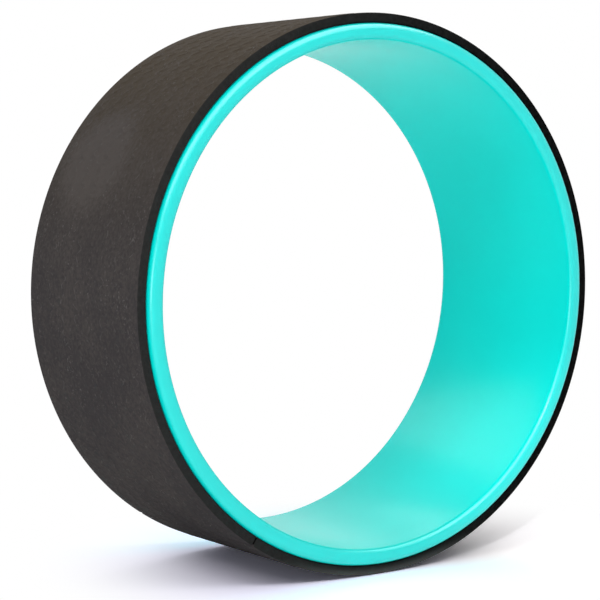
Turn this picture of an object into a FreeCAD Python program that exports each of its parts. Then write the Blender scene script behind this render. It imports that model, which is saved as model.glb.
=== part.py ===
import FreeCAD, Part
import math
import os

from FreeCAD import Vector

# A yoga wheel: a moulded plastic hoop with a strip of foam tread bonded round it.
# Millimetres, +Z up. The origin is the wheel's centre, the wheel rolls about Y and its front rim is at -Y.

# Hoop, from the bore outwards
BORE_DIAMETER = 298.0    # clear opening at the front mouth
BORE_LAND = 20.0         # parallel stretch of bore behind the front mouth
DRAFT_ANGLE = 0.8        # degrees by which the rest of the bore opens towards the rear
WALL = 4.5               # smooth inner wall that the hands and feet touch
RIB_DEPTH = 5.3          # from the wall's hidden side out to the tread's seat, at the front
HOOP_WIDTH = 130.0       # over both rim faces
RIM_OUTER_ROUND = 0.48   # rounding beside the tread, as a share of the rear rim's thickness
RIM_INNER_ROUND = 0.41   # rounding at both mouths of the bore, as a share of it too
RIM_PROUD = 3.0          # how far each rim stands out past the tread's edge
EDGE_SEAT = 3.0          # how far each rim reaches in under the tread's edge

# Ribs on the hoop's hidden side, which carry the tread
RIB = 3.0                # thickness of every rib at the seat
RING_RIBS = 5            # ribs that run round the hoop, between the two rims
CROSS_RIBS = 36          # ribs that run across it

# Tread, wrapped round the ribs
TREAD_THICKNESS = 5.6
TREAD_EDGE_FILLET = 0.6  # soft corner of the cut foam
SHEET = 0.3              # double-sided adhesive sheet under the foam
SHEET_CLEARANCE = 0.15   # between that sheet and what it lies on, and under the foam
SEAM_GAP = 0.5           # glue line between the strip's two ends
SEAM_ANGLE = 33.4        # degrees from the bottom of the wheel towards -X

# How far a cutting shape runs past what it cuts
OVERRUN = 1.0

CENTRE = Vector(0, 0, 0)
AXLE = Vector(0, 1, 0)

bore_radius = BORE_DIAMETER / 2
half_width = HOOP_WIDTH / 2
land_end = BORE_LAND - half_width
seat_radius = bore_radius + WALL + RIB_DEPTH
sheet_inner_radius = seat_radius + SHEET_CLEARANCE
sheet_outer_radius = sheet_inner_radius + SHEET
tread_inner_radius = sheet_outer_radius + SHEET_CLEARANCE
tread_outer_radius = tread_inner_radius + TREAD_THICKNESS
half_tread = half_width - RIM_PROUD


def bore_radius_at(y):
    """The bore keeps its size along the land and then opens with the draft."""
    return bore_radius + math.tan(math.radians(DRAFT_ANGLE)) * max(0, y - land_end)


thin_rim = seat_radius - bore_radius_at(half_width)
rim_outer_fillet = RIM_OUTER_ROUND * thin_rim
rim_inner_fillet = RIM_INNER_ROUND * thin_rim


def revolved(outline, sweep=360):
    """Turns an outline of (radius, y) points about the axle line."""
    corners = [Vector(radius, y, 0) for radius, y in outline]
    face = Part.Face(Part.makePolygon(corners + corners[:1]))
    return face.revolve(CENTRE, AXLE, sweep)


def round_edges(shape, radius):
    """The circles of one radius on a shape's two flat ends."""
    ends = (shape.BoundBox.YMin, shape.BoundBox.YMax)
    circles = [edge for edge in shape.Edges if isinstance(edge.Curve, Part.Circle)]
    return [
        edge for edge in circles
        if math.isclose(edge.Curve.Radius, radius) and any(math.isclose(edge.Curve.Center.y, y) for y in ends)
    ]


def make_hoop_blank():
    """The hoop before its hidden side is cored out: drafted bore, flat rim faces, rounded rims."""
    blank = revolved([
        (bore_radius, -half_width),
        (seat_radius, -half_width),
        (seat_radius, half_width),
        (bore_radius_at(half_width), half_width),
        (bore_radius, land_end),
    ])
    blank = blank.makeFillet(rim_outer_fillet, round_edges(blank, seat_radius))
    mouths = round_edges(blank, bore_radius) + round_edges(blank, bore_radius_at(half_width))
    return blank.makeFillet(rim_inner_fillet, mouths)


def make_pockets():
    """The cells between the ribs. Their floors follow the draft, so the inner wall keeps its thickness."""
    first = EDGE_SEAT - half_tread
    bay = (-2 * first - RING_RIBS * RIB) / (RING_RIBS + 1)
    pitch = 360 / CROSS_RIBS
    rib_angle = math.degrees(RIB / seat_radius)
    pockets = []
    for row in range(RING_RIBS + 1):
        low = first + row * (bay + RIB)
        high = low + bay
        pocket = revolved([
            (bore_radius_at(low) + WALL, low),
            (seat_radius + OVERRUN, low),
            (seat_radius + OVERRUN, high),
            (bore_radius_at(high) + WALL, high),
        ], pitch - rib_angle)
        pockets += [pocket.rotated(CENTRE, AXLE, column * pitch + rib_angle / 2) for column in range(CROSS_RIBS)]
    return pockets


def make_wrap(inner, outer, edge_fillet=0):
    """A closed ring of the tread's width, lying on the hoop."""
    ring = revolved([(inner, -half_tread), (outer, -half_tread), (outer, half_tread), (inner, half_tread)])
    return ring.makeFillet(edge_fillet, round_edges(ring, outer)) if edge_fillet else ring


def make_seam_slot():
    """The thin gap across the tread where the strip's two ends meet."""
    depth = tread_outer_radius - sheet_inner_radius + 2 * OVERRUN
    corner = Vector(-SEAM_GAP / 2, -half_tread - OVERRUN, -tread_outer_radius - OVERRUN)
    slot = Part.makeBox(SEAM_GAP, 2 * (half_tread + OVERRUN), depth, corner)
    return slot.rotated(CENTRE, AXLE, SEAM_ANGLE)


seam_slot = make_seam_slot()
nodes = {
    "hoop": make_hoop_blank().cut(make_pockets()),
    "adhesive_sheet": make_wrap(sheet_inner_radius, sheet_outer_radius).cut(seam_slot),
    "tread_strip": make_wrap(tread_inner_radius, tread_outer_radius, TREAD_EDGE_FILLET).cut(seam_slot),
    "seam_glue": make_wrap(sheet_inner_radius, tread_outer_radius, TREAD_EDGE_FILLET).common(seam_slot),
}

os.makedirs("parts", exist_ok=True)
for name, shape in nodes.items():
    shape.exportStep(f"parts/{name}.step")
    print(f"{name}: {len(shape.Solids)} solid, {shape.Volume:.0f} mm3, valid {shape.isValid()}")
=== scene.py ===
# %% [markdown]
# # A yoga wheel in Blender
# The real thing is a moulded turquoise hoop with a strip of charcoal foam glued round it.
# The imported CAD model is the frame: it fixes every size and place, and this lesson adds the looks.
# Everything is in metres. The wheel's axis is Y, its front rim is at -Y, and it stands on its tread.

import math

import bmesh
import bpy
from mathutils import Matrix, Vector


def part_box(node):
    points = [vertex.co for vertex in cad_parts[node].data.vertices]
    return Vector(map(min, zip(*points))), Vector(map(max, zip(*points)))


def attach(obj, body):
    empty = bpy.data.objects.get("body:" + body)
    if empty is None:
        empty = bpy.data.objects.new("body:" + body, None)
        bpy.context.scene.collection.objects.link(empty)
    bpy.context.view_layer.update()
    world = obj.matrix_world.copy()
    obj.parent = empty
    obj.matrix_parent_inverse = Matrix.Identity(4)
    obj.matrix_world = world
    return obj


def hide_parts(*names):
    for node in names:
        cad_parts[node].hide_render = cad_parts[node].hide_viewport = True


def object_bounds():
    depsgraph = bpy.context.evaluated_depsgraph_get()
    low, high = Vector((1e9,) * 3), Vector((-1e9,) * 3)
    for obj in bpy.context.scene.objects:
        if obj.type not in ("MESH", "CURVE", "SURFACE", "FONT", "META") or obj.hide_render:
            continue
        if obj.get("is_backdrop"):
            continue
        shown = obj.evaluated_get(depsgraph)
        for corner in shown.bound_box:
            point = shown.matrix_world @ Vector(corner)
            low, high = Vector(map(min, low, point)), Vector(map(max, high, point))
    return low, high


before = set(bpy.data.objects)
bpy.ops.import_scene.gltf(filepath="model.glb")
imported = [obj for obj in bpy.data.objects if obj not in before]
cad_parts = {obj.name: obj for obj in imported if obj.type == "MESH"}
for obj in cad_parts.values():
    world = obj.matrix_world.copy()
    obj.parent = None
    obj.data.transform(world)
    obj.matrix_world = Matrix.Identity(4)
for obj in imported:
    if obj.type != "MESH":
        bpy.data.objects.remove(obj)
cad_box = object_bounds()
scene = bpy.context.scene
print("CAD nodes:", sorted(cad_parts))

# %% [markdown]
# ## Camera
# The photograph was taken from the front left, a little above the wheel's centre, with a long lens.
# A long lens far away keeps the two rims nearly the same size, so the lens and the distance go together.

# %% Camera
CAMERA_AIM = Vector((-0.0096, 0.0063, -0.0060))
CAMERA_DISTANCE = 1.155
CAMERA_AZIMUTH = math.radians(-35.28)
CAMERA_ELEVATION = math.radians(4.24)
CAMERA_LENS = 113.07

towards_camera = Vector((
    math.sin(CAMERA_AZIMUTH) * math.cos(CAMERA_ELEVATION),
    -math.cos(CAMERA_AZIMUTH) * math.cos(CAMERA_ELEVATION),
    math.sin(CAMERA_ELEVATION),
))
camera = bpy.data.objects.new("camera", bpy.data.cameras.new("camera"))
camera.data.lens = CAMERA_LENS
camera.location = CAMERA_AIM + CAMERA_DISTANCE * towards_camera
camera.rotation_euler = (-towards_camera).to_track_quat("-Z", "Y").to_euler()
scene.collection.objects.link(camera)
scene.camera = camera
print("Camera at", [round(value, 3) for value in camera.location])

# %% [markdown]
# ## Writing materials as sums
# A material is a graph of nodes. Placing every node by hand is long to write and hard to read.
# So one small class wraps a socket: arithmetic on it adds Math nodes, and `node` adds any other kind.
# The Mix node repeats its sockets' names for every kind of value, so its colour sockets go by number.

# %% A socket that takes part in sums
X, Y, Z = range(3)
MIX_FACTOR = 0
MIX_FIRST = 6
MIX_SECOND = 7
MIX_RESULT = 2


class Wire:
    """An output socket of a material's graph."""

    def __init__(self, tree, socket):
        self.tree = tree
        self.socket = socket

    def node(self, kind, settings, inputs, output=0):
        """Adds a node, sets it up, feeds its sockets and returns one of its outputs."""
        added = self.tree.nodes.new(kind)
        for name, value in settings.items():
            setattr(added, name, value)
        for name, value in inputs.items():
            feed(added.inputs[name], value)
        return Wire(self.tree, added.outputs[output])

    def math(self, operation, *values):
        return self.node("ShaderNodeMath", {"operation": operation}, dict(enumerate(values)))

    def vector_math(self, operation, other, output):
        return self.node("ShaderNodeVectorMath", {"operation": operation}, {0: self, 1: other}, output)

    def __add__(self, other):
        return self.math("ADD", self, other)

    def __sub__(self, other):
        return self.math("SUBTRACT", self, other)

    def __rsub__(self, other):
        return self.math("SUBTRACT", other, self)

    def __mul__(self, other):
        return self.math("MULTIPLY", self, other)

    def __abs__(self):
        return self.math("ABSOLUTE", self)

    __radd__ = __add__
    __rmul__ = __mul__

    def noise(self, scale, detail=3.0, roughness=0.5):
        """Cloudy noise about 0.5, with `scale` features to the metre."""
        inputs = {"Vector": self, "Scale": scale, "Detail": detail, "Roughness": roughness}
        return self.node("ShaderNodeTexNoise", {}, inputs)

    def between(self, low, high):
        """0 below low, 1 above high and smooth between them."""
        inputs = {"Value": self, "From Min": low, "From Max": high}
        return self.node("ShaderNodeMapRange", {"interpolation_type": "SMOOTHSTEP"}, inputs)

    def mix(self, first, second):
        """A colour that goes from first to second as this goes from 0 to 1."""
        inputs = {MIX_FACTOR: self, MIX_FIRST: first, MIX_SECOND: second}
        return self.node("ShaderNodeMix", {"data_type": "RGBA"}, inputs, MIX_RESULT)

    def bump(self, depth):
        """A surface normal for this height, which runs from 0 to 1, in metres of depth."""
        return self.node("ShaderNodeBump", {}, {"Height": self, "Distance": depth})

    def along(self, axis):
        """One coordinate of a place."""
        return self.node("ShaderNodeSeparateXYZ", {}, {"Vector": self}, axis)

    def towards(self, direction):
        """How far a place lies in a direction."""
        return self.vector_math("DOT_PRODUCT", direction, "Value")

    def distance(self, point):
        """How far a place is from a point."""
        return self.vector_math("DISTANCE", point, "Value")

    def from_axis(self):
        """How far a place is from the wheel's axis."""
        return self.vector_math("MULTIPLY", (1, 0, 1), "Vector").distance((0, 0, 0))


def feed(socket, value):
    """Links a wire to a socket, or sets the socket's own value."""
    if isinstance(value, Wire):
        value.tree.links.new(value.socket, socket)
    else:
        socket.default_value = value


def new_material(name):
    """A material with a Principled shader's sockets, and the place on the piece as a wire."""
    material = bpy.data.materials.new(name)
    material.use_nodes = True
    tree = material.node_tree
    place = Wire(tree, tree.nodes.new("ShaderNodeTexCoord").outputs["Object"])
    return material, tree.nodes["Principled BSDF"].inputs, place


print("Materials are written with", Wire.__name__)

# %% [markdown]
# ## Hoop plastic
# The hoop is moulded in a saturated turquoise. Its bore has a satin skin that only shines at a low angle,
# and its rims are polished by hands and floors, so they carry a thin clear gloss.
# The rims are found by their place along Y. Slow patches in the gloss come from the mould's polish,
# and a very shallow orange-peel texture softens the reflections.

# %% Hoop plastic
TURQUOISE = (0.001, 0.735, 0.690, 1.0)
TURQUOISE_DEEP = (0.000, 0.705, 0.660, 1.0)
TURQUOISE_RIM = (0.012, 0.725, 0.700, 1.0)
RIM_DEPTH = 0.0020
RIM_FADE = 0.0010
RIM_GLOSS = 0.80
RIM_GLOSS_ROUGHNESS = 0.25
POLISH = {"scale": 9.0}
POLISH_RANGE = (0.3, 0.7)
PEEL = {"scale": 420.0, "detail": 2.0}
PEEL_DEPTH = 0.000015
SATIN_ROUGHNESS = 0.18
POLISH_ROUGHNESS = 0.06
PEEL_ROUGHNESS = 0.03
PLASTIC_IOR = 1.46
PLASTIC_SPECULAR = 0.06

hoop_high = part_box("hoop")[1]
half_width = hoop_high[Y]
seat_radius = hoop_high[Z]


def make_hoop_plastic():
    material, shader, place = new_material("turquoise_plastic")
    polish = place.noise(**POLISH)
    peel = place.noise(**PEEL)
    rim = abs(place.along(Y)).between(half_width - RIM_DEPTH, half_width - RIM_DEPTH + RIM_FADE)
    bore = polish.between(*POLISH_RANGE).mix(TURQUOISE_DEEP, TURQUOISE)
    feed(shader["Base Color"], rim.mix(bore, TURQUOISE_RIM))
    feed(shader["Roughness"], SATIN_ROUGHNESS + POLISH_ROUGHNESS * polish + PEEL_ROUGHNESS * peel)
    feed(shader["Coat Weight"], RIM_GLOSS * rim)
    feed(shader["Normal"], peel.bump(PEEL_DEPTH))
    shader["IOR"].default_value = PLASTIC_IOR
    shader["Specular IOR Level"].default_value = PLASTIC_SPECULAR
    shader["Coat Roughness"].default_value = RIM_GLOSS_ROUGHNESS
    return material


hoop_plastic = make_hoop_plastic()
print("Made", hoop_plastic.name)

# %% [markdown]
# ## Foam
# The tread is closed-cell foam: a moulded skin outside, with fine ridges embossed on it, and cut sides.
# It is one strip, so one material covers skin and sides, and tells them apart by place.
# That takes a few measures of the tread, and the place of the seam where the strip's ends meet.

# %% Tread measures
TREAD_THICKNESS = 0.0056
RIDGE_HEIGHT = 0.00025
SEAM_GAP = 0.0005
# Counted from +X towards -Z, so the bottom of the wheel is at 90 degrees
SEAM_ANGLE = math.radians(90 + 33.4)

tread_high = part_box("tread_strip")[1]
half_tread = tread_high[Y]
tread_radius = tread_high[Z]
skin_radius = tread_radius - RIDGE_HEIGHT
back_radius = tread_radius - TREAD_THICKNESS
seam_outwards = (math.cos(SEAM_ANGLE), 0, -math.sin(SEAM_ANGLE))
across_seam = (-math.sin(SEAM_ANGLE), 0, -math.cos(SEAM_ANGLE))
print("The tread is", round(2 * tread_radius, 4), "across and", round(2 * half_tread, 4), "wide")

# %% [markdown]
# The skin is charcoal, slightly dusty and mottled, with warmer, brighter light from above painted in towards
# the top.
# Pale specks gather in patches, and the ridges' crests are pale in places, partly worn and partly painted
# highlight. One pale bloom, as talc leaves, sits on the upper left.
# Dust, specks, and the crests' wear and painted highlight are added and multiplied like numbers, and the Mix
# node keeps each sum from 0 to 1.

# %% Foam skin
FOAM_SKIN = (0.0412, 0.0382, 0.0405, 1.0)
# Painted light: a warmer, brighter skin colour for the top, where light falls from above.
FOAM_SKIN_PAINTED_TOP_LIGHT = (0.0555, 0.0450, 0.0325, 1.0)
FOAM_SKIN_DUSTY = (0.070, 0.0630, 0.0600, 1.0)
# Pale crest colour: partly wear, partly a painted highlight where the ridges catch the light.
FOAM_CREST_WORN_AND_LIT = (0.095, 0.0900, 0.0890, 1.0)
NOISE_MEAN = 0.5
CLOUDS = {"scale": 14.0, "detail": 4.0}
CLOUD_RANGE = (0.35, 0.75)
CLOUD_DUST = 0.45
GRAIN_DUST = 2.3
BLOOM_PLACE = (-0.1446, 0.0193, 0.0796)
BLOOM_CORE = 0.015
BLOOM_REACH = 0.045
BLOOM_DUST = 1.1
SPECKS = {"scale": 700.0, "detail": 0.0}
SPECK_RANGE = (0.68, 0.82)
PATCHES = {"scale": 60.0}
PATCH_RANGE = (0.40, 0.65)
CREST_SHARES = (0.2, 0.9)
WEAR = {"scale": 330.0, "detail": 2.0}
WEAR_RANGE = (0.48, 0.64)
LEAST_WEAR = 0.45
CREST_WEAR_AND_HIGHLIGHT_STRENGTH = 0.8


def foam_skin_colour(place, radius, grain):
    clouds = place.noise(**CLOUDS).between(*CLOUD_RANGE)
    bloom = 1 - place.distance(BLOOM_PLACE).between(BLOOM_CORE, BLOOM_REACH)
    dust = CLOUD_DUST * clouds + GRAIN_DUST * (grain - NOISE_MEAN) + BLOOM_DUST * bloom
    # Painted light: the skin's colour turns warmer and brighter towards the top.
    skin_with_painted_top_light = place.along(Z).between(0.0, tread_radius).mix(FOAM_SKIN, FOAM_SKIN_PAINTED_TOP_LIGHT)
    specks = place.noise(**SPECKS).between(*SPECK_RANGE) * place.noise(**PATCHES).between(*PATCH_RANGE)
    crest = radius.between(*(skin_radius + share * RIDGE_HEIGHT for share in CREST_SHARES))
    worn = place.noise(**WEAR).between(*WEAR_RANGE)
    # Pale crests: partly wear, partly a painted highlight where the ridges catch the light.
    crest_wear_and_highlight = crest * worn * (LEAST_WEAR + (1 - LEAST_WEAR) * clouds)
    return (specks + CREST_WEAR_AND_HIGHLIGHT_STRENGTH * crest_wear_and_highlight).mix(dust.mix(skin_with_painted_top_light, FOAM_SKIN_DUSTY), FOAM_CREST_WORN_AND_LIT)


print("The skin has a bloom", 2 * BLOOM_REACH, "across")

# %% [markdown]
# The cut sides have no skin, so they are darker. They are paler on the left than on the right, the edge that
# touches the floor is painted paler as if lit by light bounced from the floor, and beside the seam painted
# shade makes them black.

# %% Cut sides
FOAM_CUT = (0.0004, 0.0006, 0.0006, 1.0)
FOAM_CUT_DUSTY = (0.0250, 0.0260, 0.0258, 1.0)
# Painted light: a paler colour for the cut edge by the floor, standing in for light bounced up from the
# floor.
FLOOR_BOUNCE_PAINT = (0.070, 0.0720, 0.0720, 1.0)
# Painted shade: near-black colour for the foam in and beside the seam, standing in for the joint's shade.
FOAM_SEAM_SHADE = (0.001, 0.001, 0.001, 1.0)
# The cut sides are paler on the left and grow darker towards the right.
SIDE_PALE_LEFT = 0.85
SIDE_PALE_FALL = 0.75
SIDE_DUST_GRAIN = 0.8
SIDE_PALE_REACH = 0.15
FLOOR_BOUNCE_SHARE = 0.88
SEAM_SHADE_CORE = 0.0003
SEAM_SHADE_REACH = 0.0006


def foam_cut_colour(place, radius, grain):
    # Paler on the left, darker towards the right.
    rightwards = place.along(X).between(-SIDE_PALE_REACH, SIDE_PALE_REACH)
    dust = SIDE_PALE_LEFT - SIDE_PALE_FALL * rightwards + SIDE_DUST_GRAIN * (grain - NOISE_MEAN)
    # Painted bounce light: the outer edge of the cut sides is paler near the floor.
    low = 1 - place.along(Z).between(-tread_radius, -FLOOR_BOUNCE_SHARE * tread_radius)
    outer = radius.between(back_radius, tread_radius)
    cut_with_painted_bounce = (low * outer).mix(dust.mix(FOAM_CUT, FOAM_CUT_DUSTY), FLOOR_BOUNCE_PAINT)
    # Painted shade: the foam is blackened in and beside the seam.
    near_seam = 1 - abs(place.towards(across_seam)).between(SEAM_SHADE_CORE, SEAM_SHADE_REACH)
    seam = near_seam * place.towards(seam_outwards).between(0.0, back_radius)
    return seam.mix(cut_with_painted_bounce, FOAM_SEAM_SHADE)


# The painted seam shade reaches this far onto the sides.
print("Glue stains the sides", 2 * SEAM_SHADE_REACH, "wide at the seam")

# %% [markdown]
# The two colours meet at the strip's edges. Grain and tiny pits roughen both, and foam hardly shines.

# %% Foam
CUT_BAND = 0.0004
CUT_EDGE = 0.0001
SKIN_DEPTH = 0.0010
SKIN_FADE = 0.0002
GRAIN = {"scale": 430.0, "detail": 4.0, "roughness": 0.65}
GRAIN_DEPTH = 0.00045
PITS = {"scale": 1500.0, "detail": 1.0}
PIT_SHARE = 0.5
FOAM_ROUGHNESS = 0.84
GRAIN_ROUGHNESS = 0.12
FOAM_SPECULAR = 0.02


def make_foam():
    material, shader, place = new_material("charcoal_foam")
    radius = place.from_axis()
    grain = place.noise(**GRAIN)
    pits = place.noise(**PITS)
    side = abs(place.along(Y)).between(half_tread - CUT_BAND, half_tread - CUT_EDGE)
    skin = (1 - side) * radius.between(skin_radius - SKIN_DEPTH - SKIN_FADE, skin_radius - SKIN_DEPTH)
    cut_colour = foam_cut_colour(place, radius, grain)
    skin_colour = foam_skin_colour(place, radius, grain)
    feed(shader["Base Color"], skin.mix(cut_colour, skin_colour))
    feed(shader["Roughness"], FOAM_ROUGHNESS + GRAIN_ROUGHNESS * grain)
    feed(shader["Normal"], (grain + PIT_SHARE * pits).bump(GRAIN_DEPTH))
    shader["Specular IOR Level"].default_value = FOAM_SPECULAR
    return material


foam = make_foam()
print("Made", foam.name)

# %% [markdown]
# ## Glue and adhesive
# Both only show as dark lines: the sheet in the thin gap beside the rim, the glue down in the seam.

# %% Glue and adhesive
GLUE_DARK = (0.006, 0.006, 0.007, 1.0)
GLUE_PALE = (0.014, 0.014, 0.015, 1.0)
LUMPS = {"scale": 700.0}
LUMP_DEPTH = 0.0001
LUMP_ROUGHNESS = 0.2
SHEET_ROUGHNESS = 0.6
GLUE_ROUGHNESS = 0.4


def make_glue(name, least_roughness):
    material, shader, place = new_material(name)
    lumps = place.noise(**LUMPS)
    feed(shader["Base Color"], lumps.mix(GLUE_DARK, GLUE_PALE))
    feed(shader["Roughness"], least_roughness + LUMP_ROUGHNESS * lumps)
    feed(shader["Normal"], lumps.bump(LUMP_DEPTH))
    return material


sheet_adhesive = make_glue("sheet_adhesive", SHEET_ROUGHNESS)
contact_glue = make_glue("contact_glue", GLUE_ROUGHNESS)
print("Made", sheet_adhesive.name, "and", contact_glue.name)

# %% [markdown]
# ## Sections and spins
# Every piece of the wheel is a section carried round the axis, so one set of helpers serves them all.
# A section is a flat face of (radius, y) corners. Bevelling its corners rounds them,
# and the spin operator turns its outline into a surface, as a potter's wheel would.
# Angles round the axis are counted from +X towards -Z.

# %% Sections and spins
AXIS = {"cent": (0, 0, 0), "axis": (0, 1, 0)}
ROUND_PROFILE = 0.5


def section_face(mesh, outline, angle):
    """A face that stands at an angle round the axis."""
    return mesh.faces.new([
        mesh.verts.new((radius * math.cos(angle), y, -radius * math.sin(angle))) for radius, y in outline
    ])


def round_corners(mesh, corners, radius, steps):
    bmesh.ops.bevel(
        mesh, geom=corners, offset=radius, offset_type="OFFSET", affect="VERTICES",
        segments=steps, profile=ROUND_PROFILE, material=-1,
    )


def spin_outline(mesh, outline, angle, steps):
    """Carries an outline's edges round the axis and returns the outline where they end."""
    return bmesh.ops.spin(mesh, geom=outline, angle=angle, steps=steps, **AXIS)["geom_last"]


def edges_of(geometry):
    return [item for item in geometry if isinstance(item, bmesh.types.BMEdge)]


def corners_of(geometry):
    return [item for item in geometry if isinstance(item, bmesh.types.BMVert)]


print("Sections are spun about", AXIS["axis"])

# %% [markdown]
# After a spin, corners are found and moved by their angle round the axis and their distance from it.

# %% Places round the axis
def angle_of(place):
    return math.atan2(-place.z, place.x)


def radius_of(place):
    return math.hypot(place.x, place.z)


def move_to_radius(corner, radius):
    scale = radius / radius_of(corner.co)
    corner.co.x *= scale
    corner.co.z *= scale


print("The camera stands at", round(math.degrees(angle_of(camera.location))), "degrees round the axis")

# %% [markdown]
# A finished piece is one object at the origin, shaded smooth except at its sharp corners.
# It rides on the wheel's one body, takes the material that it is given,
# and stands for the CAD node that it covers.
# An edge that doesn't join two faces would be a hole, so those are counted.

# %% Finishing a piece
SHARP_CORNER = math.radians(40)


def finish_piece(name, mesh, material, node):
    bmesh.ops.recalc_face_normals(mesh, faces=mesh.faces)
    open_edges = sum(len(edge.link_faces) != 2 for edge in mesh.edges)
    data = bpy.data.meshes.new(name)
    mesh.to_mesh(data)
    mesh.free()
    data.materials.append(material)
    data.shade_smooth()
    data.set_sharp_from_angle(angle=SHARP_CORNER)
    piece = bpy.data.objects.new(name, data)
    scene.collection.objects.link(piece)
    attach(piece, "root")
    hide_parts(node)
    print(name, "has", len(data.polygons), "faces and", open_edges, "open edges")
    return piece


print("Corners over", round(math.degrees(SHARP_CORNER)), "degrees stay sharp")

# %% [markdown]
# ## Hoop
# The hoop is an injection moulding. Its bore is parallel behind the front rim and then opens with the
# mould's draft. On the side under the tread it has ribs both ways, with bays between them.

# %% Hoop measures
BORE_RADIUS = 0.149
BORE_LAND = 0.020
BORE_DRAFT = math.radians(0.8)
EDGE_SEAT = 0.003
RIB = 0.003
RING_RIBS = 5
CROSS_RIBS = 36

land_end = BORE_LAND - half_width
first_bay = EDGE_SEAT - half_tread
bay_width = (-2 * first_bay - RING_RIBS * RIB) / (RING_RIBS + 1)
bay_starts = [first_bay + row * (bay_width + RIB) for row in range(RING_RIBS + 1)]
bays = [(start, start + bay_width) for start in bay_starts]
rib_angle = RIB / seat_radius
rib_pitch = 2 * math.pi / CROSS_RIBS


def bore_radius_at(y):
    return BORE_RADIUS + math.tan(BORE_DRAFT) * max(0, y - land_end)


print("The bore opens from", BORE_RADIUS, "to", round(bore_radius_at(half_width), 5))

# %% [markdown]
# Both rims are well rounded, with only a narrow flat between the roundings.
# The CAD mesh has the same shape, but its facets show against the smooth tread,
# so the hoop is spun again in finer steps. Each turn of 10 degrees is a narrow rib and a wide bay.

# %% Spun hoop
RIM_OUTER_ROUNDING = 0.00397
RIM_INNER_ROUNDING = 0.00339
RIM_STEPS = 8
BAY_STEPS = 8
MERGE_DISTANCE = 0.000001


def hoop_outline():
    seat = [(seat_radius, y) for bay in bays for y in bay]
    front = [(BORE_RADIUS, -half_width), (seat_radius, -half_width)]
    rear = [(seat_radius, half_width), (bore_radius_at(half_width), half_width), (BORE_RADIUS, land_end)]
    return front + seat + rear


def spin_hoop():
    mesh = bmesh.new()
    corners = list(section_face(mesh, hoop_outline(), -rib_angle / 2).verts)
    round_corners(mesh, [corners[1], corners[-3]], RIM_OUTER_ROUNDING, RIM_STEPS)
    round_corners(mesh, [corners[0], corners[-2]], RIM_INNER_ROUNDING, RIM_STEPS)
    bmesh.ops.delete(mesh, geom=list(mesh.faces), context="FACES_ONLY")
    outline = list(mesh.verts) + list(mesh.edges)
    for _ in range(CROSS_RIBS):
        outline = spin_outline(mesh, outline, rib_angle, steps=1)
        outline = spin_outline(mesh, outline, rib_pitch - rib_angle, BAY_STEPS)
    bmesh.ops.remove_doubles(mesh, verts=mesh.verts, dist=MERGE_DISTANCE)
    return mesh


hoop_mesh = spin_hoop()
print("The spun hoop has", len(hoop_mesh.faces), "faces")

# %% [markdown]
# On the real hoop the side under the tread is cored out between the ribs, which keeps the wall even
# and the wheel light. The bays' faces are extruded inwards as far as the wall allows.
# A boolean with 216 boxes would also do it, but an extrude keeps the mesh clean and takes no time.

# %% Hollow bays between the ribs
HOOP_WALL = 0.0045


def is_bay(face):
    centre = face.calc_center_median()
    turn = angle_of(centre) % rib_pitch
    on_seat = all(radius_of(corner.co) > seat_radius - MERGE_DISTANCE for corner in face.verts)
    between_ribs = rib_angle / 2 < turn < rib_pitch - rib_angle / 2
    return on_seat and between_ribs and any(low < centre.y < high for low, high in bays)


def hollow_bays(mesh):
    tops = [face for face in mesh.faces if is_bay(face)]
    floors = bmesh.ops.extrude_face_region(mesh, geom=tops)["geom"]
    for corner in corners_of(floors):
        move_to_radius(corner, bore_radius_at(corner.co.y) + HOOP_WALL)
    bmesh.ops.delete(mesh, geom=[face for face in tops if face.is_valid], context="FACES")
    return len(tops)


print("Bay faces pushed in:", hollow_bays(hoop_mesh))
finish_piece("moulded_hoop", hoop_mesh, hoop_plastic, "hoop")

# %% [markdown]
# ## Tread
# The tread is one section spun round the axis, from one end of the strip to the other.
# Its skin is embossed with shallow wavy ridges. They could be a bump in the material, but real ridges
# also show on the outline. The section has each ridge as four corners,
# and after the spin the skin is slid sideways in waves, so the ridges wander as they go round.

# %% Tread section
RIDGE_FOOT = 0.0008
RIDGE_CREST = 0.0002
RIDGE_COUNT = 8
RIDGE_SPACING = 0.0146


def tread_outline():
    """From the front of the strip's back, over the skin and its ridges, to the rear of its back."""
    outline = [(back_radius, -half_tread), (skin_radius, -half_tread)]
    for ridge in range(RIDGE_COUNT):
        y = RIDGE_SPACING * (ridge - (RIDGE_COUNT - 1) / 2)
        outline += [
            (skin_radius, y - RIDGE_FOOT),
            (tread_radius, y - RIDGE_CREST),
            (tread_radius, y + RIDGE_CREST),
            (skin_radius, y + RIDGE_FOOT),
        ]
    return outline + [(skin_radius, half_tread), (back_radius, half_tread)]


print("The tread's section has", len(tread_outline()), "corners")

# %% [markdown]
# The spin starts and ends at the seam. The first and last millimetres get short steps of their own,
# so that the strip's two ends can be eased off and the seam shows as a fine groove.

# %% Tread strip
SKIN_ROUNDING = 0.0006
BACK_ROUNDING = 0.0004
EDGE_STEPS = 4
END_LENGTH = 0.0012
END_STEPS = 3
WAVES = 58
STEPS_PER_WAVE = 18

half_gap = SEAM_GAP / 2 / tread_radius
end_angle = END_LENGTH / tread_radius
run_angle = 2 * math.pi - 2 * half_gap - 2 * end_angle


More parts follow.
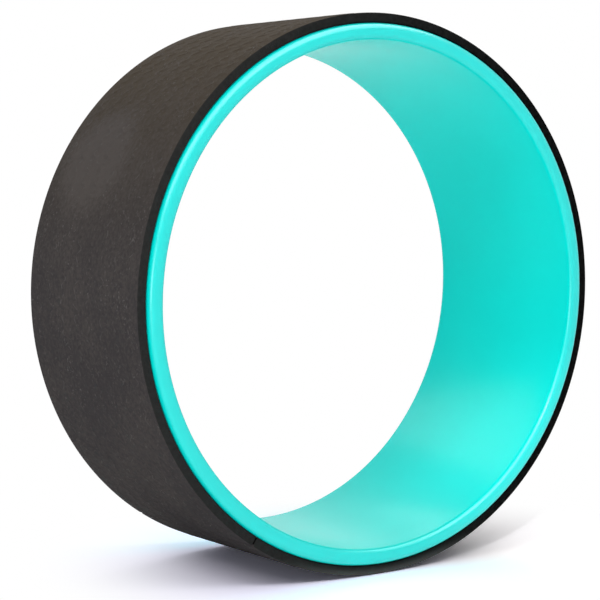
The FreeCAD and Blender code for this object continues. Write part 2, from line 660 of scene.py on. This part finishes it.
def spin_tread():
    mesh = bmesh.new()
    corners = list(section_face(mesh, tread_outline(), SEAM_ANGLE + half_gap).verts)
    round_corners(mesh, [corners[1], corners[-2]], SKIN_ROUNDING, EDGE_STEPS)
    round_corners(mesh, [corners[0], corners[-1]], BACK_ROUNDING, EDGE_STEPS)
    outline = list(mesh.verts) + list(mesh.edges)
    for angle, steps in ((end_angle, END_STEPS), (run_angle, WAVES * STEPS_PER_WAVE), (end_angle, END_STEPS)):
        outline = spin_outline(mesh, outline, angle, steps)
    bmesh.ops.contextual_create(mesh, geom=edges_of(outline))
    return mesh


tread_mesh = spin_tread()
print("The spun tread has", len(tread_mesh.faces), "faces")

# %% [markdown]
# The waves are slides along Y that die away towards the strip's edges, so the cut sides stay straight.
# A wave is a sum of ripples. Each is given by its count in a wave, its share of the reach and its start.
# Close to the seam, the skin drops and the sides draw in by a fraction of a millimetre.

# %% Waves and seam
WAVE_REACH = 0.0019
RIPPLES = ((1, 0.40, 0.0), (2, 1.0, 1.0), (3, 0.20, 2.0))
WAVE_FADE = 0.006
END_DROP = 0.0005


def emboss(mesh):
    for corner in mesh.verts:
        radius = radius_of(corner.co)
        turn = (angle_of(corner.co) - SEAM_ANGLE) % (2 * math.pi)
        to_end = (min(turn, 2 * math.pi - turn) - half_gap) * tread_radius
        drop = END_DROP * max(0.0, 1 - to_end / END_LENGTH) ** 2
        corner.co.y *= 1 - drop / half_tread
        if radius < skin_radius - SKIN_ROUNDING / 2:
            continue
        inland = min(1.0, max(0.0, (half_tread - SKIN_ROUNDING - abs(corner.co.y)) / WAVE_FADE))
        wave = sum(share * math.sin(count * WAVES * turn + start) for count, share, start in RIPPLES)
        corner.co.y += inland * WAVE_REACH * wave
        move_to_radius(corner, radius - drop)


emboss(tread_mesh)
tread = finish_piece("foam_tread", tread_mesh, foam, "tread_strip")

# %% [markdown]
# ## Adhesive sheet
# A thin black sheet holds the tread on the ribs. It stops a little short of the tread's edges,
# so all that shows of it is a dark line beside each rim.

# %% Adhesive sheet
SHEET_THICKNESS = 0.0003
SHEET_CLEARANCE = 0.00015
SHEET_SHORT = 0.0015
SHEET_STEPS = 240

sheet_outer = back_radius - SHEET_CLEARANCE
sheet_inner = sheet_outer - SHEET_THICKNESS


def spin_strip(outline, start, angle, steps):
    """A closed strip: a section, the surface that it sweeps and its far end."""
    mesh = bmesh.new()
    section_face(mesh, outline, start)
    far_end = spin_outline(mesh, list(mesh.verts) + list(mesh.edges), angle, steps)
    bmesh.ops.contextual_create(mesh, geom=edges_of(far_end))
    return mesh


def sheet_outline():
    half = half_tread - SHEET_SHORT
    return [(sheet_inner, -half), (sheet_outer, -half), (sheet_outer, half), (sheet_inner, half)]


sheet_mesh = spin_strip(sheet_outline(), SEAM_ANGLE + half_gap, 2 * math.pi - 2 * half_gap, SHEET_STEPS)
finish_piece("adhesive_layer", sheet_mesh, sheet_adhesive, "adhesive_sheet")

# %% [markdown]
# ## Seam glue
# The glue fills the joint between the strip's ends but stops short of the skin and of the cut sides,
# so from outside the joint reads as a fine dark line. Its outer face sags where the glue has shrunk.

# %% Seam glue
GLUE_SHORT = 0.0018
GLUE_SAG = 0.0004


def glue_outline():
    half = half_tread - GLUE_SHORT
    top = skin_radius - GLUE_SHORT
    return [(sheet_inner, -half), (top, -half), (top - GLUE_SAG, 0.0), (top, half), (sheet_inner, half)]


glue_mesh = spin_strip(glue_outline(), SEAM_ANGLE - half_gap, 2 * half_gap, steps=1)
finish_piece("seam_glue_line", glue_mesh, contact_glue, "seam_glue")

# %% [markdown]
# ## Floor
# The floor is white and keeps only the wheel's soft shadow. Its colour is painted bluer on the left, so the
# shadow there is a painted blue.
# To the camera and to mirror-like reflections it is brighter than to matt surfaces,
# so its lit parts read as white without more light on the wheel.
# Away from the wheel it fades into plain white.

# %% Floor material
FLOOR_MATT = (1.15, 1.15, 1.15, 1.0)
FLOOR_SEEN = (1.26, 1.245, 1.27, 1.0)
# Painted shadow tint: the floor is bluer on the left, which only shows where it lies in shadow.
FLOOR_PAINTED_BLUE_LEFT = (1.25, 1.26, 1.54, 1.0)
SHADOW_TINT_FADE = (-0.02, 0.10)
SHADOW_CENTRE = (0.03, -0.03)
SHADOW_NEAR = 0.10
SHADOW_FAR = 0.22

floor_height = cad_box[0][Z]


def seen_directly(tree):
    """1 for camera, glossy and transmission rays, 0 for the rest."""
    rays = tree.nodes.new("ShaderNodeLightPath").outputs
    names = ("Is Camera Ray", "Is Glossy Ray", "Is Transmission Ray")
    camera_ray, glossy, clear = (Wire(tree, rays[name]) for name in names)
    return camera_ray.math("MAXIMUM", camera_ray, glossy.math("MAXIMUM", glossy, clear))


def make_floor_material():
    material = bpy.data.materials.new("white_floor")
    material.use_nodes = True
    tree = material.node_tree
    tree.nodes.remove(tree.nodes["Principled BSDF"])
    seen = seen_directly(tree)
    place = Wire(tree, tree.nodes.new("ShaderNodeTexCoord").outputs["Object"])
    far = place.distance((*SHADOW_CENTRE, floor_height)).between(SHADOW_NEAR, SHADOW_FAR)
    # Painted shadow tint: bluer floor colour on the left, fading out towards the right.
    shown = place.along(X).between(*SHADOW_TINT_FADE).mix(FLOOR_PAINTED_BLUE_LEFT, FLOOR_SEEN)
    near_floor = place.node("ShaderNodeBsdfDiffuse", {}, {"Color": seen.mix(FLOOR_MATT, shown)})
    white = place.node("ShaderNodeEmission", {}, {"Strength": 1.0})
    surface = place.node("ShaderNodeMixShader", {}, {0: far * seen, 1: near_floor, 2: white})
    feed(tree.nodes["Material Output"].inputs["Surface"], surface)
    return material


white_floor = make_floor_material()
print("Made", white_floor.name)

# %% [markdown]
# One large flat face is enough. It is part of the stage and not of the wheel, so it is marked as a backdrop.

# %% Floor
FLOOR_SIZE = 30.0


def make_floor():
    mesh = bmesh.new()
    bmesh.ops.create_grid(mesh, x_segments=1, y_segments=1, size=FLOOR_SIZE / 2)
    bmesh.ops.translate(mesh, verts=mesh.verts, vec=(0, 0, floor_height))
    data = bpy.data.meshes.new("floor")
    mesh.to_mesh(data)
    mesh.free()
    data.materials.append(white_floor)
    floor = bpy.data.objects.new("floor", data)
    scene.collection.objects.link(floor)
    floor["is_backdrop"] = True


make_floor()
print("The floor lies at", round(floor_height, 4))

# %% [markdown]
# ## Light
# A white room gives soft light from all sides. The camera sees it as a plain white background,
# and so do mirror-like reflections.

# %% White room
ROOM_STRENGTH = 0.31
ROOM_COLOUR = (0.97, 0.985, 1.0, 1.0)
WHITE = (1.0, 1.0, 1.0, 1.0)


def make_room():
    world = bpy.data.worlds.new("white_room")
    scene.world = world
    world.use_nodes = True
    tree = world.node_tree
    seen = seen_directly(tree)
    background = tree.nodes["Background"].inputs
    feed(background["Color"], seen.mix(ROOM_COLOUR, WHITE))
    feed(background["Strength"], ROOM_STRENGTH + (1 - ROOM_STRENGTH) * seen)


make_room()
scene.view_settings.view_transform = "Standard"
print("The scene stands in", scene.world.name)

# %% [markdown]
# The key is a long softbox high in front. A fill on the left lights the tread, and two warmer lamps above
# light its shoulder and its top. Two lamps behind glance off the bottom of the bore.

# %% Soft lamps
LAMPS = {
    "key": dict(place=(-0.15, -1.55, 1.60), size=(2.4, 0.4), power=16.0, colour=(1.0, 0.98, 0.96)),
    "fill": dict(place=(-1.80, -1.40, 0.14), size=(0.7, 0.5), power=9.2, colour=(1.0, 0.99, 0.99)),
    "shoulder": dict(place=(-1.55, -0.70, 1.35), size=(0.8, 0.8), power=13.0, colour=(1.0, 0.94, 0.88)),
    "top": dict(place=(0.70, -0.40, 1.75), size=(2.0, 0.45), power=5.0, colour=(1.0, 0.95, 0.90)),
    "back": dict(place=(0.34, 1.76, 1.16), size=(2.9, 2.4), power=11.0),
    "side": dict(place=(1.00, 1.30, 1.30), size=(0.9, 0.9), power=6.0),
}


def add_lamp(light, place, aim):
    lamp = bpy.data.objects.new(light.name, light)
    lamp.location = place
    lamp.rotation_euler = (Vector(aim) - Vector(place)).to_track_quat("-Z", "Y").to_euler()
    scene.collection.objects.link(lamp)
    return lamp


def make_soft_lamp(name, place, size, power, colour=WHITE[:3], aim=(0, 0, 0)):
    light = bpy.data.lights.new(name, "AREA")
    light.shape = "RECTANGLE"
    light.size, light.size_y = size
    light.energy = power
    light.color = colour
    return add_lamp(light, place, aim)


for name, lamp in LAMPS.items():
    make_soft_lamp(name, **lamp)
print("Soft lamps:", ", ".join(LAMPS))

# %% [markdown]
# The long highlight on the rim is the reflection of a wide panel overhead, and the pale glance low
# in the bore that of a smaller one behind. Neither lights anything else.
# A small soft pool of light falls on the lower right of the rim.

# %% Panels and pool
PANELS = {
    "rim_panel": dict(place=(-0.50, -0.95, 1.20), aim=(-0.50, -0.95, 0.0), size=(3.6, 2.9), power=120.0),
    "bore_panel": dict(place=(-0.42, 1.46, 1.12), aim=(0.118, -0.03, -0.090), size=(0.9, 0.8), power=9.0),
}
POOL_PLACE = (-0.70, -1.10, 0.80)
POOL_AIM = (0.112, -0.062, -0.102)
POOL_POWER = 29.0
POOL_ANGLE = math.radians(6.0)
POOL_FADE = 1.0
POOL_SOFTNESS = 0.03


def make_panel(name, **settings):
    """A lamp that only shows as a reflection."""
    panel = make_soft_lamp(name, **settings)
    panel.visible_diffuse = False
    panel.visible_camera = False


def make_pool():
    light = bpy.data.lights.new("pool", "SPOT")
    light.energy = POOL_POWER
    light.spot_size = POOL_ANGLE
    light.spot_blend = POOL_FADE
    light.shadow_soft_size = POOL_SOFTNESS
    add_lamp(light, POOL_PLACE, POOL_AIM)


for name, panel in PANELS.items():
    make_panel(name, **panel)
make_pool()
print("Panels:", ", ".join(PANELS), "and a pool of light")

boxes = {"cad": cad_box, "visual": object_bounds()}
for name, box in boxes.items():
    print(name, "box:", [[round(value, 4) for value in corner] for corner in box])
